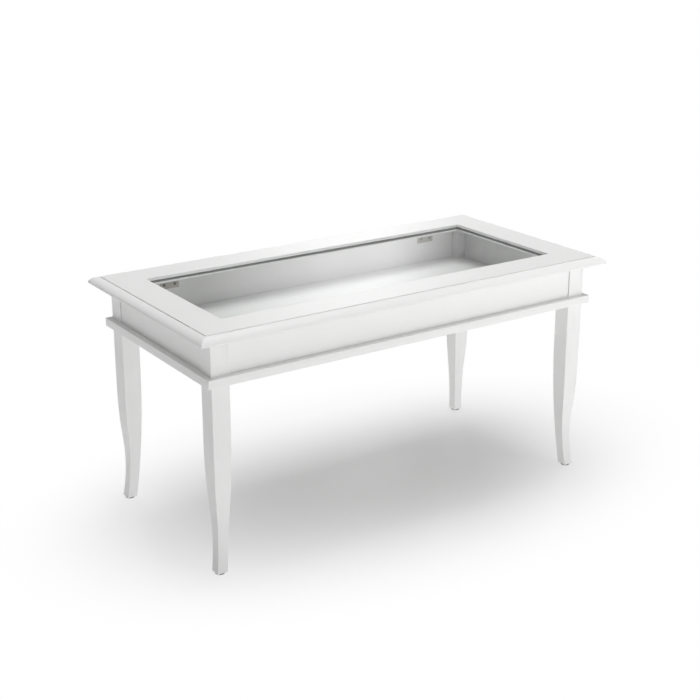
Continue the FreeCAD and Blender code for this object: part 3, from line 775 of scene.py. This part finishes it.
def screw_blank(tree, size):
    """A rod with rings at heights -1, 0 and 1, which become the face, the neck and the tip."""
    rod = Wire.node(tree, "GeometryNodeMeshCylinder", {}, {
        "Vertices": 28, "Side Segments": 2, "Radius": size["Head Radius"], "Depth": 2.0,
    })
    x, y, z = position(tree)
    through_head, along_shank = (z + 1.0).math("MINIMUM", 1.0), z.math("MAXIMUM", 0.0)
    narrow = 1.0 - (1.0 - size["Shank Radius"] / size["Head Radius"]) * through_head
    deep = size["Head Height"] * through_head + (size["Length"] - size["Head Height"]) * along_shank
    return move_points(tree, rod, vector(tree, {"X": x * narrow, "Y": y * narrow, "Z": deep}))


def screw_cross(tree, size):
    """Two crossed bars, half of their depth below the face of the head."""
    length, width, depth = size["Cross Length"], size["Cross Width"], size["Cross Depth"] * 2.0
    spans = [{"X": length, "Y": width, "Z": depth}, {"X": width, "Y": length, "Z": depth}]
    bars = [Wire.node(tree, "GeometryNodeMeshCube", {}, {"Size": vector(tree, span)}) for span in spans]
    return Wire.node(tree, "GeometryNodeMeshBoolean", JOINED, {1: bars})


print("a screw has", len(SCREW_SIZES), "sizes")

# %% Tree of the screws
CUT_OUT = {"solver": "EXACT", "operation": "DIFFERENCE"}
# A Random Value node has sockets for every kind of value, so those for numbers are found by their place.
RANDOM_LOW, RANDOM_HIGH, RANDOM_RESULT = 2, 3, 1


def screw_tree():
    """A countersunk screw with a cross recess, set on points."""
    sizes = dict.fromkeys(SCREW_SIZES, NUMBER)
    inputs = {"Geometry": SHAPE, **sizes, "Turn": VECTOR, "Seed": WHOLE, "Paint": PAINT}
    tree, size = start_tree("countersunk_screws", inputs)
    recess = {0: screw_blank(tree, size), 1: screw_cross(tree, size)}
    screw = Wire.node(tree, "GeometryNodeMeshBoolean", CUT_OUT, recess)
    turn = Wire.node(tree, "FunctionNodeEulerToRotation", {}, {0: size["Turn"]})
    placed = Wire.node(tree, "GeometryNodeInstanceOnPoints", {}, {
        "Points": size["Geometry"], "Instance": screw, "Rotation": turn,
    })
    angle = Wire.node(tree, "FunctionNodeRandomValue", {"data_type": "FLOAT"}, {
        RANDOM_LOW: 0.0, RANDOM_HIGH: math.pi / 2, "Seed": size["Seed"],
    }, output=RANDOM_RESULT)
    around = vector(tree, {"Z": angle})
    spun = Wire.node(tree, "GeometryNodeRotateInstances", {}, {"Instances": placed, "Rotation": around})
    return end_tree(tree, spun, size["Paint"])


SCREW_TREE = screw_tree()
print("screw tree with", len(SCREW_TREE.nodes), "nodes")

# %% Three sets of screws
# Sizes are in millimetres.
SMALL = dict(zip(SCREW_SIZES, (3.2, 1.5, 1.75, 11.0, 3.8, 0.9, 1.1)))
LARGE = dict(zip(SCREW_SIZES, (4.0, 2.2, 2.0, 40.0, 4.8, 1.1, 1.6)))
UPWARDS, REARWARDS = (0.0, 0.0, 0.0), (-math.pi / 2, 0.0, 0.0)


def screws(name, node, body, paint, sizes, turn, seed):
    """One screw for each solid of a CAD node, with its head where the solid's head is."""
    into = Matrix.Rotation(turn[0], 3, "X") @ Vector((0, 0, 1))
    heads = [(low + high) / 2 - into * abs((high - low).dot(into)) / 2 for low, high in solids(node)]
    values = {label: size * MM for label, size in sizes.items()}
    values.update({"Turn": turn, "Seed": seed, "Paint": paint})
    piece = grow(name, SCREW_TREE, values, heads)
    return finish(piece, body, paint, [node], turn_limit=40.0)


screws("leaf_screws_box", "hinge_screws_box", "table", SHADE_DARK_NICKEL, SMALL, REARWARDS, seed=3)
screws("leaf_screws_lid", "hinge_screws_lid", "lid", SHADE_DARK_NICKEL, SMALL, UPWARDS, seed=5)
screws("floor_screws", "board_screws", "table", ZINC, LARGE, UPWARDS, seed=8)

# %% [markdown]
# ## Glides and bumpers
# Under each foot sits a plastic glide with a rounded lower edge, and on the front posts lie two soft
# pads that take the lid. Both are turned discs: one has a rounded foot, the other a domed top, so
# one tree with a size for each does for both.

# %% Tree of the turned discs
DISC_SIZES = ["Radius", "Height", "Foot Round", "Crown"]


def disc_tree():
    """A turned disc with a rounded lower edge and a domed top, set on points."""
    inputs = {"Geometry": SHAPE, **dict.fromkeys(DISC_SIZES, NUMBER), "Paint": PAINT}
    tree, size = start_tree("turned_discs", inputs)
    drum = Wire.node(tree, "GeometryNodeMeshCylinder", {}, {
        "Vertices": 40, "Side Segments": 10, "Fill Segments": 5,
        "Radius": size["Radius"], "Depth": size["Height"],
    })
    x, y, from_middle = position(tree)
    z = from_middle + size["Height"] * 0.5
    below = (size["Foot Round"] - z).math("MAXIMUM", 0.0) / size["Foot Round"]
    drawn_in = size["Foot Round"] * (1.0 - (1.0 - below * below).math("MAXIMUM", 0.0).math("SQRT"))
    narrow = 1.0 - drawn_in / size["Radius"]
    out = (x * x + y * y) / (size["Radius"] * size["Radius"])
    lower = z - size["Crown"] * (z / size["Height"]) * out
    disc = move_points(tree, drum, vector(tree, {"X": x * narrow, "Y": y * narrow, "Z": lower}))
    on_points = {"Points": size["Geometry"], "Instance": disc}
    placed = Wire.node(tree, "GeometryNodeInstanceOnPoints", {}, on_points)
    return end_tree(tree, placed, size["Paint"])


DISC_TREE = disc_tree()
print("disc tree with", len(DISC_TREE.nodes), "nodes")

# %% Four glides and two bumpers
# Sizes are in millimetres.
GLIDE = dict(zip(DISC_SIZES, (10.0, 3.0, 1.4, 0.0)))
BUMPER = dict(zip(DISC_SIZES, (5.0, 1.5, 0.2, 0.5)))


def discs(name, node, body, paint, sizes):
    """One disc for each solid of a CAD node, standing on the middle of the solid's underside."""
    feet = [Vector(((low.x + high.x) / 2, (low.y + high.y) / 2, low.z)) for low, high in solids(node)]
    values = {label: size * MM for label, size in sizes.items()}
    piece = grow(name, DISC_TREE, {**values, "Paint": paint}, feet)
    return finish(piece, body, paint, [node], turn_limit=50.0)


discs("rounded_glides", "foot_glides", "table", PLASTIC, GLIDE)
discs("domed_bumpers", "lid_bumpers", "table", PAD, BUMPER)

# %% [markdown]
# ## Solids that stay as they are
# The pane and its gasket have square edges, and the dowels, bolts, inserts and pins are hidden in
# their joints. New meshes would show nothing more, so these keep their packed shape and only get
# their finish.

# %% Paint the solids that stay
STAY = {
    "glass_pane": GLASS, "glass_gasket": GASKET, "apron_dowels": BEECH, "lid_mitre_dowels": BEECH,
    "leg_bolts": ZINC, "post_inserts": ZINC, "bead_pins": ZINC,
}
for node, material in STAY.items():
    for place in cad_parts[node].material_slots:
        place.material = material
print("painted", len(STAY), "nodes")

# %% [markdown]
# ## Studio
# The table stands on a white floor that runs into a white background. A curved backdrop would stand
# in the way of views from behind. A flat floor doesn't: it is lit like anything else and keeps the
# soft shadow under the table, and only what the camera sees of it further out turns to plain white.
# The sky looks white but gives a dim light, a little brighter towards the front right. One large lamp
# hangs overhead, a little to the right and the rear, one stands in front, and one lies on the floor
# in front and shines up, as a bright floor throws light back.

# %% Rays, paint and light of the studio
def seen(tree):
    """1 for rays that end in the picture: from the camera, a gloss or through glass."""
    camera = Wire.node(tree, "ShaderNodeLightPath", output="Is Camera Ray")
    mirrored = camera.math("MAXIMUM", camera.other("Is Glossy Ray"))
    return mirrored.math("MAXIMUM", camera.other("Is Transmission Ray"))


def matt(tree, tone):
    """Matt paint of one grey tone."""
    return Wire.node(tree, "ShaderNodeBsdfDiffuse", {}, {"Color": grey(tone)})


def glow(tree, strength):
    """White light from the surface itself."""
    return Wire.node(tree, "ShaderNodeEmission", {}, {"Strength": strength})


print("studio helpers", [helper.__name__ for helper in (seen, matt, glow)])

# %% Floor
FLOOR_HALF = 40.0
SHADED_TONE, BOUNCE_TONE, BOUNCE_GLOW, PLAIN_WHITE = 0.80, 0.90, 0.26, 1.0
FLOOR_SHEEN, FLOOR_ROUGH = 0.08, 0.25
OVAL_STRETCH, OVAL_CENTRE = (1.22, 1.96, 1.0), (0.055, 0.0, 0.0)
FADE_STARTS, FADE_WHOLE = 0.12, 1.10


def floor_material():
    """White floor with the table's shadow, plain white further out, and clear from below."""
    material, tree = new_material("studio_white")
    bounced = Wire.node(tree, "ShaderNodeAddShader", {}, {
        0: matt(tree, BOUNCE_TONE), 1: glow(tree, BOUNCE_GLOW),
    })
    shaded = mixed(tree, FLOOR_SHEEN, matt(tree, SHADED_TONE), gloss(tree, FLOOR_ROUGH))
    oval = object_coordinates(tree, OVAL_STRETCH, OVAL_CENTRE)
    away = Wire.node(tree, "ShaderNodeVectorMath", {"operation": "LENGTH"}, {0: oval}, output="Value")
    fade = smooth_rise(tree, away, FADE_STARTS, FADE_WHOLE)
    picture = mixed(tree, fade, shaded, glow(tree, PLAIN_WHITE))
    both = mixed(tree, seen(tree), bounced, picture)
    under = Wire.node(tree, "ShaderNodeNewGeometry", output="Backfacing")
    clear = Wire.node(tree, "ShaderNodeBsdfTransparent")
    show(tree, mixed(tree, under, both, clear))
    return material


floor_shape = bmesh.new()
bmesh.ops.create_grid(floor_shape, x_segments=8, y_segments=8, size=FLOOR_HALF)
floor = new_piece("studio_floor", to_mesh("studio_floor", floor_shape))
floor.data.materials.append(floor_material())
print("floor", [round(size, 1) for size in floor.dimensions])

# %% Sky
SKY, LEAN, TOWARDS = 0.35, 0.22, (0.55, -0.70, 0.14)
world = bpy.data.worlds.new("studio_sky")
world.use_nodes = True
sky_tree = world.node_tree
sky_tree.nodes.clear()
direction = Wire.node(sky_tree, "ShaderNodeTexCoord", output="Generated")
facing = Wire.node(sky_tree, "ShaderNodeVectorMath", {"operation": "DOT_PRODUCT"}, {
    0: direction, 1: TOWARDS,
}, output="Value")
soft = (SKY + facing * LEAN).math("MAXIMUM", 0.0)
level = soft + seen(sky_tree) * (1.0 - soft)
sky = Wire.node(sky_tree, "ShaderNodeBackground", {}, {"Color": grey(1.0), "Strength": level})
Wire.node(sky_tree, "ShaderNodeOutputWorld", {}, {"Surface": sky})
SCENE.world = world
print("sky of level", SKY, "with", len(sky_tree.nodes), "nodes")

# %% Lamps
# Each lamp has its place, the point that it is aimed at, its side in metres and its power in watts.
LAMPS = {
    "overhead_lamp": ((0.25, 0.38, 3.0), (0.25, 0.38, 0.0), 1.6, 50.0),
    "front_lamp": ((1.8, -3.2, 1.1), (0.0, 0.0, 0.35), 2.0, 25.0),
    "floor_lamp": ((1.0, -1.9, 0.02), (1.0, -1.9, 1.0), 2.0, 16.0),
}


def lamp(name, place, target, side, power):
    """Square area lamp aimed at a point, seen neither by the camera nor in reflections."""
    light = bpy.data.lights.new(name, "AREA")
    light.shape, light.size, light.energy = "SQUARE", side, power
    piece = bpy.data.objects.new(name, light)
    SCENE.collection.objects.link(piece)
    piece.location = place
    piece.rotation_euler = (Vector(target) - Vector(place)).to_track_quat("-Z", "Y").to_euler()
    piece.visible_camera = piece.visible_glossy = False
    return piece


for name, values in LAMPS.items():
    made = lamp(name, *values)
    print(made.name, made.data.energy, "W")

# %% [markdown]
# ## Reflector
# Glass and satin lacquer show what stands behind the table. A lamp there would light the table as
# well, and a card that only reflections see does not. The card is bright in its middle and dim
# towards its ends, so the pane has a soft veil across its middle and is clear at both ends. A wide
# dim card overhead keeps the white sky above the table out of the reflections.

# %% Light of the cards
CARD_FADE = 0.18
# Each tone has its place across the card, from 0 to 1.
UPRIGHT_TONES = [
    (0.0, 0.075), (0.32, 0.055), (0.40, 0.50), (0.47, 0.90),
    (0.53, 1.0), (0.55, 0.95), (0.60, 0.47), (0.64, 0.13),
]
CEILING_TONES = [(0.0, 0.30), (1.0, 0.36)]
UPRIGHT_STRENGTH, CEILING_STRENGTH = 1.55, 1.0


def card_material(tones, strength):
    """Light along the card's width, from a ramp of tones, that dies away at the card's edges."""
    material, tree = new_material("reflector_white")
    share = Wire.node(tree, "ShaderNodeUVMap", {"uv_map": "card"})
    across = Wire.node(tree, "ShaderNodeSeparateXYZ", {}, {0: share})
    up = across.other("Y")
    stops = [(where, grey(tone)) for where, tone in tones]
    ramp = Wire.node(tree, "ShaderNodeValToRGB", {"stops": stops}, {"Fac": across})
    light = Wire.node(tree, "ShaderNodeEmission", {}, {"Color": ramp, "Strength": strength})
    inside = [smooth_rise(tree, way.math("MINIMUM", 1.0 - way), 0.0, CARD_FADE) for way in (across, up)]
    clear = Wire.node(tree, "ShaderNodeBsdfTransparent")
    show(tree, mixed(tree, inside[0] * inside[1], clear, light))
    return material


upright_light = card_material(UPRIGHT_TONES, UPRIGHT_STRENGTH)
ceiling_light = card_material(CEILING_TONES, CEILING_STRENGTH)
print("made", upright_light.name, ceiling_light.name)

# %% Two cards
UPRIGHT_PLACE, UPRIGHT_TARGET, UPRIGHT_SIZE = (2.3, 3.4, 1.65), (0.0, 0.0, 0.5), (4.4, 3.0)
CEILING_PLACE, CEILING_TARGET, CEILING_SIZE = (0.0, 0.3, 3.6), (0.0, 0.3, 0.0), (9.0, 9.5)


def card(name, place, target, size, material):
    """A card that faces a point, seen by reflections alone."""
    shape = bmesh.new()
    bmesh.ops.create_grid(shape, x_segments=12, y_segments=4, size=0.5)
    coordinates = shape.loops.layers.uv.new("card")
    for face in shape.faces:
        for loop in face.loops:
            loop[coordinates].uv = loop.vert.co.x + 0.5, loop.vert.co.y + 0.5
    mesh = to_mesh(name, shape)
    facing = (Vector(target) - Vector(place)).to_track_quat("Z", "Y").to_matrix().to_4x4()
    mesh.transform(Matrix.Translation(place) @ facing @ Matrix.Diagonal((*size, 1.0, 1.0)))
    mesh.materials.append(material)
    piece = new_piece(name, mesh)
    piece.visible_camera = piece.visible_diffuse = piece.visible_transmission = False
    piece.visible_shadow = piece.visible_volume_scatter = False
    return piece


card("reflector_card", UPRIGHT_PLACE, UPRIGHT_TARGET, UPRIGHT_SIZE, upright_light)
card("ceiling_card", CEILING_PLACE, CEILING_TARGET, CEILING_SIZE, ceiling_light)
print("upright card of", UPRIGHT_SIZE, "m, and one overhead of", CEILING_SIZE, "m")

# %% [markdown]
# ## Camera
# The view is from the front left and from above. The place, the angles and the focal length come
# from matching corners of the table with their places in the photograph. The lens is shifted a
# little, so that the camera tilts down less and the legs lean together less.

# %% Place the camera
EYE = (-1.5213, -2.2270, 1.2669)
YAW, PITCH = math.radians(-34.162), math.radians(18.019)
FOCAL_LENGTH, SENSOR_WIDTH, LENS_SHIFT = 67.558, 36.0, -0.05
look = Vector((-math.sin(YAW) * math.cos(PITCH), math.cos(YAW) * math.cos(PITCH), -math.sin(PITCH)))
view = bpy.data.cameras.new("photo_camera")
view.lens, view.sensor_width, view.shift_y = FOCAL_LENGTH, SENSOR_WIDTH, LENS_SHIFT
camera = bpy.data.objects.new("photo_camera", view)
SCENE.collection.objects.link(camera)
camera.location = EYE
camera.rotation_euler = look.to_track_quat("-Z", "Y").to_euler()
SCENE.camera = camera
SCENE.view_settings.view_transform = "Standard"
print("camera at", tuple(round(value, 3) for value in camera.location))

# %% [markdown]
